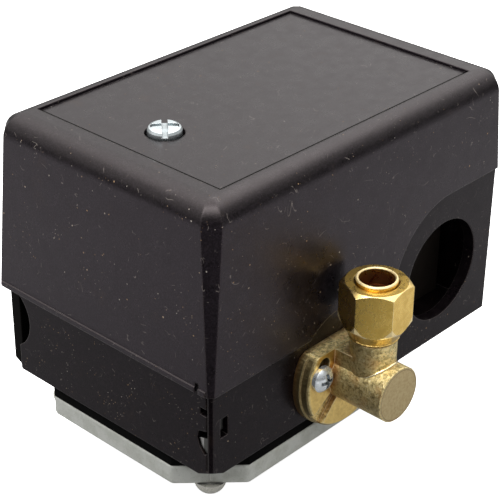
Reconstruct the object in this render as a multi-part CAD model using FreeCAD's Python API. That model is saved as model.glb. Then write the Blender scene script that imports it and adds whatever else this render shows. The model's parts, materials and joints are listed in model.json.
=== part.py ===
import FreeCAD, Part
import math
import os

# Diaphragm pressure switch with a side unloader valve.
# Millimetres. Origin: centre of the pressure port's mouth. +X runs towards the conduit end,
# -Y is the valve side and +Z is up. Each function below builds one or two physical pieces.

os.makedirs("parts", exist_ok=True)

V = FreeCAD.Vector
UNIT = {"X": V(1, 0, 0), "Y": V(0, 1, 0), "Z": V(0, 0, 1)}
SIDES = (-1, 1)
ROOT_2 = math.sqrt(2.0)

# ---- Driving dimensions -------------------------------------------------------------------

# Fits
CLEAR = 0.1
RUNNING = 0.05
FAR = 60.0

# Housing
FLOOR_Z = 16.0
HOUSING_X = (-28.0, 56.8)
HALF_WIDTH = 28.0
WALL = 2.6
SEAM_Z = 35.5
SEAM_GAP = 0.25
TONGUE_RISE = 3.0
TONGUE_INSET = 1.4
CORNER_CHAMFER = 0.6
BOTTOM_CHAMFER = 0.6
CORNER_CUT = 4.5
CORNER_CUT_RISE = 2.2

# Cover
COVER_TOP = 72.2
COVER_OVERHANG = 1.25
COVER_WALL = 1.8
DRAFT_X = 1.3
DRAFT_Y = 1.0
CORNER_LEG = (0.95, 2.9)
COVER_FILLET = 4.5
PANEL_DEPTH = 0.5
PANEL_MARGIN_X = 6.7
PANEL_MARGIN_Y = 4.5
PANEL_GROOVE = (0.3, 0.25)
LIP_HEIGHT = 1.1

# Conduit entries
CONDUIT_X = 39.7
CONDUIT_Z = 32.7
CONDUIT_R = 11.1
CONDUIT_ARCH_R = 17.8

# Pressure flange and port
BOSS_HEIGHT = 9.0
BOSS_FLATS = 22.0
FLANGE_HALF = 27.0
FLANGE_CORNER = 10.4
FLANGE_TOP = 13.5
FLANGE_EDGE = 0.7
FLANGE_ROUND = 1.5
PORT_R = 5.7
PORT_DEPTH = 10.0
PORT_THROAT_R = 3.0
FLANGE_SCREW = 20.3
FLANGE_SCREW_R = 1.9
FLANGE_HEAD_R = 3.15
FLANGE_HEAD_RISE = 3.1

# Unloader valve. Its stem lies on a line along Y, and "out" values are distances towards -Y.
VALVE_X = 6.1
VALVE_Z = 26.0
VALVE_PLATE_R = 12.0
VALVE_PLATE_T = 3.6
VALVE_FLAT = 6.9
VALVE_ARCH_R = 12.9
VALVE_BARREL_R = 5.6
VALVE_END_OUT = 43.8
VALVE_BORE_R = 3.2
VALVE_BORE_END = 41.2
VALVE_SPIGOT_R = 6.0
VALVE_STEM_R = 1.5
VALVE_SEAT_OUT = 35.2
VALVE_SCREW_DX = -8.3
VALVE_SCREW_DZ = 2.2
VALVE_SCREW_R = 1.4
VALVE_SLOT_SWEEP = 17.0
WEB_HALF = 4.3

# Tube branch with its compression nut and sleeve
BRANCH_Y = -37.2
BRANCH_R = 4.5
BRANCH_THREAD_R = 4.2
BRANCH_TOP = 45.5
TUBE_R = 3.4
TUBE_STOP = 41.0
NUT_Z = (36.8, 48.2)
NUT_FLATS = 12.0
NUT_TURN = 5.6
SLEEVE_R = 4.0
SLEEVE_TOP = 49.0

# Frame and lever
PLATE_T = 2.0
SHEET = 1.5
PISTON_R = 11.8
PIVOT_X = -19.5
PIVOT_Z = 25.5
PIN_R = 1.5
LEVER_Z = (28.0, 30.0)
LEVER_HALF = 7.0
LEVER_WALL = 1.6
BRIDGE_Z = (34.0, 35.6)
EAR_Y = 9.2

# Range and differential springs
RANGE_X = 18.0
RANGE_STUD_R = 3.0
RANGE_STUD_TOP = 61.3
RANGE_SPRING_R = 6.2
RANGE_WIRE_R = 1.1
RANGE_SPRING_Z = (31.0, 49.0)
DIFF_X = 11.0
DIFF_Y = 12.0
DIFF_STUD_R = 2.0
DIFF_STUD_TOP = 51.0
DIFF_SPRING_Z = (30.1, 44.0)

# Cover screw and the post that it screws into
COVER_SCREW_X = -11.1
COVER_SCREW_R = 1.9
COVER_SCREW_HEAD_R = 3.25
COVER_SCREW_SEAT = 1.5
POST_TOP = 65.9
POST_FLATS = 8.0

# Contact block
BLOCK_X = (27.0, 53.4)
BLOCK_HALF = 18.0
BLOCK_TOP = 38.0
POLE_X = (35.0, 45.0)
CONTACT_Y = 9.0
CONTACT_R = 1.8
CONTACT_PLATE = 1.2
TERMINAL_Y = 14.3
SMALL_SCREW_R = 1.5
GROUND_SCREW_R = 2.0
CARRIER_HALF = 3.0
CARRIER_TOP = 47.2

# Heights and faces that follow from the above
FLOOR_TOP = FLOOR_Z + WALL
PLATE_TOP = FLOOR_TOP + PLATE_T
INNER_X = (HOUSING_X[0] + WALL, HOUSING_X[1] - WALL)
INNER_Y = HALF_WIDTH - WALL
FRAME_LEFT = INNER_X[0] + CLEAR
FRAME_FRONT = -INNER_Y + CLEAR
PANEL_Z = COVER_TOP - PANEL_DEPTH
COVER_LEFT = HOUSING_X[0] - COVER_OVERHANG
PLATE_OUT = HALF_WIDTH + VALVE_PLATE_T
GUIDE_OUT = -FRAME_FRONT - SHEET
BRANCH_CENTRE = (VALVE_X, BRANCH_Y)
CONTACT_SEAT = BLOCK_TOP + CONTACT_PLATE
BRIDGE_LOW = BLOCK_TOP + 2.95
FLANGE_SCREWS = [(sx * FLANGE_SCREW, sy * FLANGE_SCREW) for sx in SIDES for sy in SIDES]
VALVE_SCREWS = [(-side * VALVE_SCREW_DX, -side * VALVE_SCREW_DZ) for side in SIDES]
TERMINALS = [(x, side) for x in POLE_X for side in SIDES]
GROUND_SCREWS = [(22.8, side * 13.5) for side in SIDES]
BLOCK_SCREWS = [(51.1, side * 9.0) for side in SIDES]


# ---- Plain shapes -------------------------------------------------------------------------

def box(x, y, z):
    """A box from three (low, high) pairs."""
    return Part.makeBox(x[1] - x[0], y[1] - y[0], z[1] - z[0], V(x[0], y[0], z[0]))


def place(axis, a, b, along):
    """The point with the two cross coordinates a, b and the given coordinate along an axis."""
    if axis == "X":
        return V(along, a, b)
    if axis == "Y":
        return V(a, along, b)
    return V(a, b, along)


def rod(axis, radius, centre, span):
    """A cylinder along an axis letter. centre holds the two cross coordinates."""
    return Part.makeCylinder(radius, span[1] - span[0], place(axis, *centre, span[0]), UNIT[axis])


def tube(axis, outer, inner, centre, span):
    return rod(axis, outer, centre, span).cut(rod(axis, inner, centre, span))


def prism(axis, points, span):
    """A polygon, given by its two cross coordinates, extruded along an axis."""
    corners = [place(axis, a, b, span[0]) for a, b in points]
    face = Part.Face(Part.makePolygon(corners + corners[:1]))
    return face.extrude(UNIT[axis] * (span[1] - span[0]))


def hexagon(flats, centre, span, turn=0.0):
    """An upright hexagonal prism. turn is the angle of its first corner, in degrees."""
    reach = flats / math.sqrt(3.0)
    angles = [math.radians(turn + 60 * k) for k in range(6)]
    points = [(centre[0] + reach * math.cos(a), centre[1] + reach * math.sin(a)) for a in angles]
    return prism("Z", points, span)


def turned(points, centre):
    """A solid of revolution about an upright axis, from (radius, height) points."""
    corners = [V(centre[0] + r, centre[1], z) for r, z in points]
    face = Part.Face(Part.makePolygon(corners + corners[:1]))
    return face.revolve(V(centre[0], centre[1], 0), UNIT["Z"], 360)


def join(shapes):
    solid = shapes[0].multiFuse(shapes[1:]) if len(shapes) > 1 else shapes[0]
    return solid.removeSplitter()


def drilled(solid, tools):
    return solid.cut(Part.makeCompound(tools))


def drills(radius, centres, span):
    """One upright cutting rod at each of the given centres."""
    return [rod("Z", radius, centre, span) for centre in centres]


def upright_edges(solid, least=10.0):
    return [edge for edge in solid.Edges if edge.BoundBox.ZLength > least]


def edges_at_height(solid, z):
    """Every edge that lies flat at one height."""
    def flat(edge):
        return abs(edge.BoundBox.ZMin - z) < 1e-4 and abs(edge.BoundBox.ZMax - z) < 1e-4
    return [edge for edge in solid.Edges if flat(edge)]


def coil(radius, wire, centre, span, turns):
    """An upright compression spring whose wire just reaches both ends of the span."""
    height = span[1] - span[0] - 2 * wire
    helix = Part.makeHelix(height / turns, height, radius)
    path = Part.Wire(helix.Edges)
    ring = Part.Wire(Part.makeCircle(wire, V(radius, 0, 0), V(0, 1, 0)))
    spring = path.makePipeShell([ring], True, True)
    spring.translate(V(centre[0], centre[1], span[0] + wire))
    return spring


def pan_head(radius, height, centre, seat, slot_width):
    """A domed screw head with a cross recess, standing on a seat height."""
    dome = 1.25 * (radius * radius + height * height) / (2 * height)
    ball = Part.makeSphere(dome, V(centre[0], centre[1], seat + height - dome))
    head = rod("Z", radius, centre, (seat, seat + height)).common(ball)
    depth = (seat + height * 0.45, seat + height + 1)
    reach = radius * 0.62
    half = slot_width / 2
    across = box((centre[0] - reach, centre[0] + reach), (centre[1] - half, centre[1] + half), depth)
    along = box((centre[0] - half, centre[0] + half), (centre[1] - reach, centre[1] + reach), depth)
    return drilled(head, [across, along])


def screw(shank_r, head_r, head_height, centre, seat, length, slot_width):
    """A pan-head screw whose shank runs down from its seat."""
    head = pan_head(head_r, head_height, centre, seat, slot_width)
    return join([head, rod("Z", shank_r, centre, (seat - length, seat))])


def threaded_nut_outline(flats, centre, low, high, corner, drop):
    """The turned blank that rounds off both ends of a hexagonal nut."""
    reach = flats / math.sqrt(3.0)
    return turned([(0, low), (reach - corner, low), (reach, low + drop), (reach, high - drop),
                   (reach - corner, high), (0, high)], centre)


def save(name, *solids):
    shape = solids[0] if len(solids) == 1 else Part.makeCompound(list(solids))
    shape.exportStep("parts/" + name + ".step")


# ---- Cover --------------------------------------------------------------------------------

def cover_outline(z, inset):
    """The cover's eight-sided outline at a height. Its flat corners widen upwards."""
    rise = (z - SEAM_Z) / (COVER_TOP - SEAM_Z)
    low_x = COVER_LEFT + DRAFT_X * rise + inset
    high_x = HOUSING_X[1] + COVER_OVERHANG - DRAFT_X * rise - inset
    half = HALF_WIDTH + COVER_OVERHANG - DRAFT_Y * rise - inset
    leg = CORNER_LEG[0] + (CORNER_LEG[1] - CORNER_LEG[0]) * rise - inset * (2 - ROOT_2)
    leg = max(leg, 0.2)
    points = [
        (low_x + leg, -half), (high_x - leg, -half), (high_x, -half + leg), (high_x, half - leg),
        (high_x - leg, half), (low_x + leg, half), (low_x, half - leg), (low_x, -half + leg),
    ]
    corners = [V(x, y, z) for x, y in points]
    return Part.makePolygon(corners + corners[:1])


def cover_block(low, high, inset):
    return Part.makeLoft([cover_outline(low, inset), cover_outline(high, inset)], True, True)


def below_cover(grow):
    """The space below the cover's lower edge, grown upwards: level at the low end, an arch over
    the valve plate, an arch over each conduit entry and a higher level at the conduit end."""
    reach_x = (HOUSING_X[0] - FAR, HOUSING_X[1] + FAR)
    reach_y = (-HALF_WIDTH - FAR, HALF_WIDTH + FAR)
    level = box(reach_x, reach_y, (0, SEAM_Z + grow))
    arch = rod("Y", CONDUIT_ARCH_R + grow, (CONDUIT_X, CONDUIT_Z), reach_y)
    high = box((CONDUIT_X, reach_x[1]), reach_y, (0, CONDUIT_Z + CONDUIT_ARCH_R + grow))
    valve = rod("Y", VALVE_ARCH_R + grow, (VALVE_X, VALVE_Z), (reach_y[0], -HALF_WIDTH / 2))
    return join([level, arch, high, valve])


def cover_panel():
    """The shallow recess in the cover's top, with a fine groove just inside its edge."""
    low_x = COVER_LEFT + DRAFT_X + PANEL_MARGIN_X
    high_x = HOUSING_X[1] + COVER_OVERHANG - DRAFT_X - PANEL_MARGIN_X
    half = HALF_WIDTH + COVER_OVERHANG - DRAFT_Y - PANEL_MARGIN_Y
    width, depth = PANEL_GROOVE
    through = (PANEL_Z - depth, COVER_TOP + 1)
    recess = box((low_x, high_x), (-half, half), through)
    middle = box((low_x + width, high_x - width), (width - half, half - width), (PANEL_Z - depth, PANEL_Z))
    return recess.cut(middle)


def make_cover():
    shell = cover_block(SEAM_Z, COVER_TOP, 0)
    shell = shell.makeFillet(COVER_FILLET, edges_at_height(shell, COVER_TOP))
    hollow = cover_block(SEAM_Z - 2, COVER_TOP - COVER_WALL, COVER_WALL)
    lip_half = HALF_WIDTH - 0.2
    lip = box((COVER_LEFT - 0.2, COVER_LEFT + 1), (-lip_half, lip_half), (SEAM_Z, SEAM_Z + LIP_HEIGHT))
    notch = box((COVER_LEFT - 1, COVER_LEFT + 0.7), (-26.1, -25.2), (SEAM_Z - 1, SEAM_Z + 2.0))

    centre = (COVER_SCREW_X, 0)
    boss = rod("Z", 6.0, centre, (POST_TOP + CLEAR, COVER_TOP - COVER_WALL + 0.2))
    counterbore = rod("Z", COVER_SCREW_HEAD_R + 0.55, centre, (PANEL_Z - COVER_SCREW_SEAT, COVER_TOP + 1))
    hole = rod("Z", COVER_SCREW_R + 0.3, centre, (POST_TOP - 1, COVER_TOP))

    body = join([shell.cut(hollow), boss, lip])
    save("cover", drilled(body, [below_cover(0), cover_panel(), notch, counterbore, hole]))


def make_cover_screw():
    """A flat-topped head with one full slot and a shorter slot across it."""
    centre = (COVER_SCREW_X, 0)
    seat = PANEL_Z - COVER_SCREW_SEAT + RUNNING
    head_r = COVER_SCREW_HEAD_R
    top = seat + 3.1
    head = turned([(0, seat), (head_r, seat), (head_r, top - 1.0), (head_r - 0.25, top - 0.5),
                   (head_r - 0.9, top - 0.15), (0, top)], centre)
    shank = rod("Z", COVER_SCREW_R, centre, (seat - 10.5, seat))
    slot_half = 0.58
    slot_turn = 47.0
    cuts = []
    for angle, reach in ((slot_turn, head_r + 1), (slot_turn + 90, head_r - 0.6)):
        slot = box((-reach, reach), (-slot_half, slot_half), (top - 1.3, top + 1))
        slot.rotate(V(0, 0, 0), UNIT["Z"], angle)
        slot.translate(V(COVER_SCREW_X, 0, 0))
        cuts.append(slot)
    save("cover_screw", drilled(join([head, shank]), cuts))


def make_cover_post():
    post = hexagon(POST_FLATS, (COVER_SCREW_X, 0), (BRIDGE_Z[1], POST_TOP))
    hole = rod("Z", COVER_SCREW_R + RUNNING, (COVER_SCREW_X, 0), (POST_TOP - 9, POST_TOP + 1))
    save("cover_post", post.cut(hole))


# ---- Housing ------------------------------------------------------------------------------

def corner_wedge(side):
    """The slanted cut under one of the housing's two left corners."""
    margin = 0.01
    x = HOUSING_X[0] - margin
    y = side * (HALF_WIDTH + margin)
    z = FLOOR_Z - margin
    base = [V(x, y, z), V(x + CORNER_CUT, y, z), V(x, y - side * CORNER_CUT, z)]
    peak = V(x, y, FLOOR_Z + CORNER_CUT_RISE)
    faces = [Part.Face(Part.makePolygon(base + base[:1]))]
    for k in range(3):
        a = base[k]
        b = base[(k + 1) % 3]
        faces.append(Part.Face(Part.makePolygon([a, b, peak, a])))
    return Part.makeSolid(Part.makeShell(faces))


def housing_walls():
    """The visible walls up to the seam, and a thinner tongue that stands up inside the cover."""
    full_height = (FLOOR_Z, FLOOR_Z + FAR)
    visible = box(HOUSING_X, (-HALF_WIDTH, HALF_WIDTH), full_height)
    visible = visible.makeChamfer(CORNER_CHAMFER, upright_edges(visible))
    visible = visible.makeChamfer(BOTTOM_CHAMFER, edges_at_height(visible, FLOOR_Z))
    inset_x = (HOUSING_X[0] + TONGUE_INSET, HOUSING_X[1] - TONGUE_INSET)
    inset_half = HALF_WIDTH - TONGUE_INSET
    tongue = box(inset_x, (-inset_half, inset_half), full_height)
    tongue = tongue.makeChamfer(CORNER_CHAMFER + 0.5, upright_edges(tongue))
    walls = join([visible.common(below_cover(-SEAM_GAP)), tongue.common(below_cover(TONGUE_RISE))])
    return walls.cut(box(INNER_X, (-INNER_Y, INNER_Y), (FLOOR_TOP, FLOOR_TOP + FAR)))


def corner_openings():
    """Slots and windows beside the near left corner, where the frame's tabs show through."""
    left = HOUSING_X[0]
    front_wall = (-HALF_WIDTH - 1, -INNER_Y + 0.1)
    end_wall = (left - 1, INNER_X[0] + 0.1)
    tab_slot = box((-25.6, -23.6), front_wall, (24.7, 29.0))
    window_outline = [(-26.95, 27.0), (-24.9, 26.4), (-24.5, 24.7), (-25.05, 22.95), (-26.35, 21.45),
                      (-26.95, 21.95)]
    tab_window = prism("X", window_outline, end_wall)
    upper_window = box(end_wall, (-27.0, -25.3), (30.1, 31.7))
    joint_line = box((left - 1, left + 0.4), (-27.15, -26.8), (FLOOR_Z + 2, SEAM_Z))
    return [tab_slot, tab_window, upper_window, joint_line]


def far_corner_recess():
    """A shallow round recess at the far left corner, with a strip that runs down from it. Short of
    the side wall, the round part goes right through the end wall."""
    left = HOUSING_X[0]
    centre = (29.0, 28.5)
    radius = 7.25
    end_wall = (left - 1, INNER_X[0] + 0.1)
    shallow = (left - 1, left + 0.8)
    notch = rod("X", radius, centre, end_wall).common(box(end_wall, (0, INNER_Y), (0, SEAM_Z + 5)))
    strip = box(shallow, (25.2, HALF_WIDTH + 1), (FLOOR_Z - 1, centre[1]))
    return [notch, rod("X", radius, centre, shallow), strip]


def make_housing():
    through_floor = (FLOOR_Z - 1, FLOOR_TOP + 1)
    front_wall = (-HALF_WIDTH - 1, -INNER_Y + 0.1)
    cuts = drills(PISTON_R + 0.3, [(0, 0)], through_floor)
    cuts += drills(FLANGE_SCREW_R + 0.2, FLANGE_SCREWS, through_floor)
    cuts += drills(SMALL_SCREW_R + CLEAR, BLOCK_SCREWS, (FLOOR_Z + 1, FLOOR_TOP + 1))
    cuts.append(rod("Y", CONDUIT_R, (CONDUIT_X, CONDUIT_Z), (-HALF_WIDTH - 1, HALF_WIDTH + 1)))
    cuts.append(rod("Y", VALVE_SPIGOT_R + CLEAR, (VALVE_X, VALVE_Z), front_wall))
    for dx, dz in VALVE_SCREWS:
        cuts.append(rod("Y", VALVE_SCREW_R + 0.2, (VALVE_X + dx, VALVE_Z + dz), front_wall))
    cuts += corner_openings() + far_corner_recess() + [corner_wedge(side) for side in SIDES]
    save("housing", drilled(housing_walls(), cuts))


# ---- Pressure side ------------------------------------------------------------------------

def cut_square(half, corner, span):
    """A square plate with flat corners, centred on the port's axis."""
    near = half - corner
    points = [(-near, -half), (near, -half), (half, -near), (half, near),
              (near, half), (-near, half), (-half, near), (-half, -near)]
    return prism("Z", points, span)


def make_pressure_flange():
    plate = cut_square(FLANGE_HALF, FLANGE_CORNER, (BOSS_HEIGHT, FLANGE_TOP))
    plate = plate.makeFillet(FLANGE_ROUND, upright_edges(plate, 4))
    rims = edges_at_height(plate, BOSS_HEIGHT) + edges_at_height(plate, FLANGE_TOP)
    plate = plate.makeFillet(FLANGE_EDGE, rims)

    reach = BOSS_FLATS / math.sqrt(3.0)
    boss = hexagon(BOSS_FLATS, (0, 0), (0, BOSS_HEIGHT + 1), 30)
    boss = boss.common(turned([(0, 0), (reach - 1.5, 0), (reach + 0.1, 1.0),
                               (reach + 0.1, BOSS_HEIGHT + 1), (0, BOSS_HEIGHT + 1)], (0, 0)))
    collar_top = BOSS_HEIGHT + 0.5
    collar = turned([(0, 6), (13.5, collar_top - 2), (15.5, collar_top), (0, collar_top)], (0, 0))

    chamber_floor = FLANGE_TOP - 1.5
    chamber = turned([(0, chamber_floor), (12, chamber_floor), (15, FLANGE_TOP + 0.1),
                      (0, FLANGE_TOP + 0.1)], (0, 0))
    cuts = [rod("Z", PORT_R, (0, 0), (-1, PORT_DEPTH)),
            rod("Z", PORT_THROAT_R, (0, 0), (-1, FLANGE_TOP + 1)),
            chamber]
    cuts += drills(FLANGE_SCREW_R + 0.2, FLANGE_SCREWS, (BOSS_HEIGHT - 1, FLANGE_TOP + 1))
    save("pressure_flange", drilled(join([plate, boss, collar]), cuts))


def make_flange_screws():
    """Round-head slotted screws, put in from below."""
    ball_r = (FLANGE_HEAD_R ** 2 + FLANGE_HEAD_RISE ** 2) / (2 * FLANGE_HEAD_RISE)
    low = BOSS_HEIGHT - FLANGE_HEAD_RISE
    slot_half = 0.5
    slot_reach = FLANGE_HEAD_R + 1
    screws = []
    for x, y in FLANGE_SCREWS:
        ball = Part.makeSphere(ball_r, V(x, y, low + ball_r))
        head = rod("Z", FLANGE_HEAD_R, (x, y), (low, BOSS_HEIGHT)).common(ball)
        slot = box((-slot_reach, slot_reach), (-slot_half, slot_half), (low - 1, low + 1.3))
        slot.rotate(V(0, 0, 0), UNIT["Z"], -45)
        slot.translate(V(x, y, 0))
        shank = rod("Z", FLANGE_SCREW_R, (x, y), (BOSS_HEIGHT, PLATE_TOP - 0.2))
        screws.append(join([head.cut(slot), shank]))
    save("flange_screws", *screws)


def make_diaphragm():
    sheet = cut_square(FLANGE_HALF, FLANGE_CORNER, (FLANGE_TOP, FLOOR_Z))
    holes = drills(FLANGE_SCREW_R + 0.2, FLANGE_SCREWS, (FLANGE_TOP - 1, FLOOR_Z + 1))
    save("diaphragm", drilled(sheet, holes))


def make_piston():
    """A wide disc on the diaphragm and a round-ended stem under the lever."""
    seat = FLOOR_Z + RUNNING
    top = LEVER_Z[0] - RUNNING
    stem_r = 4.0
    dome_r = 8.0
    disc = turned([(0, seat), (PISTON_R - 1, seat), (PISTON_R, seat + 0.8), (PISTON_R, seat + 2.0),
                   (6.5, seat + 2.6), (stem_r, seat + 4.0), (0, seat + 4.0)], (0, 0))
    lower = rod("Z", stem_r, (0, 0), (seat + 3.5, top - 2.5))
    upper = rod("Z", stem_r, (0, 0), (seat + 3.5, top)).common(Part.makeSphere(dome_r, V(0, 0, top - dome_r)))
    save("piston", join([disc, upper, lower]))


# ---- Frame, lever and springs -------------------------------------------------------------

def frame_walls():
    """The base plate and the three turned-up walls with their tabs."""
    start_z = PLATE_TOP - 1
    plate = box((FRAME_LEFT, 26.3), (FRAME_FRONT, -FRAME_FRONT), (FLOOR_TOP, PLATE_TOP))
    end = box((FRAME_LEFT, FRAME_LEFT + SHEET), (FRAME_FRONT, 16.0), (start_z, BRIDGE_Z[0]))
    slot_tab = box((FRAME_LEFT, FRAME_LEFT + SHEET), (-27.05, FRAME_FRONT + 1), (25.7, 28.8))
    corner_outline = [(-26.8, 25.2), (-24.7, 24.6), (-25.2, 23.1), (-26.4, 21.7), (-26.8, 22.1)]
    corner_tab = prism("X", corner_outline, (-27.6, FRAME_LEFT))
    valve_wall = box((-16.0, 18.5), (FRAME_FRONT, FRAME_FRONT + SHEET), (start_z, BRIDGE_Z[0] + 0.5))
    return [plate, end, slot_tab, corner_tab, valve_wall]


def frame_bridge():
    """Two upright ears that hold the pivot pin, and the bridge over them for the cover's post."""
    outer = EAR_Y + LEVER_WALL
    ears = []
    for side in SIDES:
        across = sorted((side * EAR_Y, side * outer))
        ears.append(box((-22.5, -8.2), across, (PLATE_TOP - 1, BRIDGE_Z[0] + 1)))
    return ears + [box((-22.5, -6.2), (-outer, outer), BRIDGE_Z)]


def make_frame():
    through_plate = (FLOOR_Z, PLATE_TOP + 1)
    through_wall = (FRAME_FRONT - 1, FRAME_FRONT + SHEET + 1)
    cuts = drills(PISTON_R + 0.4, [(0, 0)], (FLOOR_Z, PLATE_TOP))
    cuts += drills(FLANGE_SCREW_R + RUNNING, FLANGE_SCREWS, through_plate)
    cuts += drills(RANGE_STUD_R, [(RANGE_X, 0)], through_plate)
    cuts += drills(DIFF_STUD_R, [(DIFF_X, DIFF_Y)], through_plate)
    cuts += drills(GROUND_SCREW_R + RUNNING, GROUND_SCREWS, through_plate)
    cuts.append(rod("Y", PIN_R, (PIVOT_X, PIVOT_Z), (-15, 15)))
    cuts.append(rod("Y", VALVE_SPIGOT_R + CLEAR, (VALVE_X, VALVE_Z), through_wall))
    for dx, dz in VALVE_SCREWS:
        cuts.append(rod("Y", VALVE_SCREW_R + CLEAR, (VALVE_X + dx, VALVE_Z + dz), through_wall))
    save("frame", drilled(join(frame_walls() + frame_bridge()), cuts))


def lever_valve_tab():
    """A tab that leans outwards at 45 degrees, so that it pushes the valve's stem as it lifts."""
    low, high = LEVER_Z
    fall = 6.2
    back = LEVER_WALL / ROOT_2
    root = -LEVER_HALF + 1
    outline = [(-LEVER_HALF, high), (-LEVER_HALF - fall, high - fall),
               (-LEVER_HALF - fall + back, high - fall - back), (root, low - 0.3), (root, high)]
    return prism("X", outline, (VALVE_X - 3, VALVE_X + 3))


def make_lever():
    low, high = LEVER_Z
    left = -22.9
    plate = box((left, 24.0), (-LEVER_HALF, LEVER_HALF), LEVER_Z)
    tongue = prism("Z", [(23, -5), (26.5, -2.2), (31.3, -2.2), (31.3, 2.2), (26.5, 2.2), (23, 5)], LEVER_Z)
    profile = [(left, low + 1), (left, 22.6), (-16.0, 22.6), (-10.0, PIVOT_Z + 0.1),
               (22.0, PIVOT_Z + 0.1), (22.0, low + 1)]
    walls = []
    for side in SIDES:
        across = sorted((side * LEVER_HALF, side * (LEVER_HALF - LEVER_WALL)))
        walls.append(prism("Y", profile, across))
    spring_ear = box((DIFF_X - 5, DIFF_X + 5), (LEVER_HALF - 1, DIFF_Y + 5), LEVER_Z)
    through = (low - 1, high + 1)
    cuts = [rod("Y", PIN_R + RUNNING, (PIVOT_X, PIVOT_Z), (-15, 15)),
            rod("Z", RANGE_STUD_R + 0.7, (RANGE_X, 0), through),
            rod("Z", DIFF_STUD_R + 0.7, (DIFF_X, DIFF_Y), through)]
    save("lever", drilled(join([plate, tongue, lever_valve_tab(), spring_ear] + walls), cuts))


def make_pivot_pin():
    reach = EAR_Y + LEVER_WALL
    centre = (PIVOT_X, PIVOT_Z)
    pin = rod("Y", PIN_R, centre, (-reach - 0.8, reach + 0.8))
    head = rod("Y", PIN_R + 0.9, centre, (-reach - 1.6, -reach))
    save("pivot_pin", join([pin, head]))
    clip = tube("Y", PIN_R + 1.1, PIN_R, centre, (reach, reach + 0.6))
    gap = box((PIVOT_X - 4, PIVOT_X), (reach - 1, reach + 2), (PIVOT_Z - 0.8, PIVOT_Z + 0.8))
    save("pivot_pin_clip", clip.cut(gap))


def make_range_spring_set():
    centre = (RANGE_X, 0)
    low, high = RANGE_SPRING_Z
    cup_r = 8.0
    spigot_r = 4.2
    seat = turned([(0, LEVER_Z[1]), (cup_r, LEVER_Z[1]), (cup_r, low), (spigot_r + 0.4, low),
                   (spigot_r, low + 1.6), (0, low + 1.6)], centre)
    save("range_spring_seat", seat.cut(rod("Z", RANGE_STUD_R + 0.7, centre, (low - 5, high))))
    save("range_spring", coil(RANGE_SPRING_R, RANGE_WIRE_R, centre, RANGE_SPRING_Z, 4.5))
    cap_top = high + 2.0
    cap = turned([(0, high - 1.6), (spigot_r, high - 1.6), (spigot_r + 0.4, high), (cup_r, high),
                  (cup_r, cap_top - 0.4), (cup_r - 0.6, cap_top), (0, cap_top)], centre)
    save("range_spring_cap", cap.cut(rod("Z", RANGE_STUD_R + CLEAR, centre, (low, cap_top + 1))))

    stud = turned([(0, FLOOR_TOP), (RANGE_STUD_R, FLOOR_TOP), (RANGE_STUD_R, RANGE_STUD_TOP - 0.8),
                   (RANGE_STUD_R - 0.8, RANGE_STUD_TOP), (0, RANGE_STUD_TOP)], centre)
    collar = hexagon(9.0, centre, (PLATE_TOP, PLATE_TOP + 2.4))
    save("range_stud", join([stud, collar]))

    nut_flats = 11.0
    nut_low = cap_top + RUNNING
    nut_high = nut_low + 5.0
    nut = hexagon(nut_flats, centre, (nut_low, nut_high), 15)
    nut = nut.common(threaded_nut_outline(nut_flats, centre, nut_low, nut_high, 0.8, 0.6))
    bore = rod("Z", RANGE_STUD_R + RUNNING, centre, (nut_low - 1, nut_high + 1))
    save("range_nut", nut.cut(bore))


def make_differential_spring_set():
    centre = (DIFF_X, DIFF_Y)
    save("differential_spring", coil(3.3, 0.6, centre, DIFF_SPRING_Z, 7))
    stud = rod("Z", DIFF_STUD_R, centre, (FLOOR_TOP, DIFF_STUD_TOP))
    collar = hexagon(6.5, centre, (PLATE_TOP, PLATE_TOP + 2.0))
    save("differential_stud", join([stud, collar]))
    seat = DIFF_SPRING_Z[1] + RUNNING
    flange = rod("Z", 4.6, centre, (seat, seat + 1.0))
    nut = hexagon(7.0, centre, (seat + 0.9, seat + 4.2), 10)
    bore = rod("Z", DIFF_STUD_R + RUNNING, centre, (seat - 1, DIFF_STUD_TOP))
    save("differential_nut", join([flange, nut]).cut(bore))


# ---- Contacts and terminals ---------------------------------------------------------------

def make_terminal_block():
    block = box(BLOCK_X, (-BLOCK_HALF, BLOCK_HALF), (FLOOR_TOP, BLOCK_TOP))
    block = block.makeChamfer(0.8, upright_edges(block))
    middle = sum(POLE_X) / 2
    barriers = []
    for side in SIDES:
        across = sorted((side * 4.5, side * BLOCK_HALF))
        barriers.append(box((middle - 0.8, middle + 0.8), across, (BLOCK_TOP - 1, BLOCK_TOP + 5.5)))
    slot_half = CARRIER_HALF + CLEAR
    cuts = [box((BLOCK_X[0] - 1, 49.9), (-slot_half, slot_half), (24.5, BLOCK_TOP + 9))]
    screw_hole_r = SMALL_SCREW_R + CLEAR
    cuts += drills(screw_hole_r, [(x, s * TERMINAL_Y) for x, s in TERMINALS], (BLOCK_TOP - 6, BLOCK_TOP + 1))
    cuts += drills(screw_hole_r, BLOCK_SCREWS, (FLOOR_Z, BLOCK_TOP + 1))
    save("terminal_block", drilled(join([block] + barriers), cuts))


def make_fixed_contacts():
    half = 3.2
    tip_height = 0.8
    plates = []
    for x, side in TERMINALS:
        across = sorted((side * 7.0, side * 17.4))
        plate = box((x - half, x + half), across, (BLOCK_TOP, CONTACT_SEAT))
        tip = rod("Z", CONTACT_R, (x, side * CONTACT_Y), (CONTACT_SEAT - 0.2, CONTACT_SEAT + tip_height))
        hole = rod("Z", SMALL_SCREW_R + CLEAR, (x, side * TERMINAL_Y), (BLOCK_TOP - 1, CONTACT_SEAT + 1))
        plates.append(join([plate.cut(hole), tip]))
    save("fixed_contacts", *plates)


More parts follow.
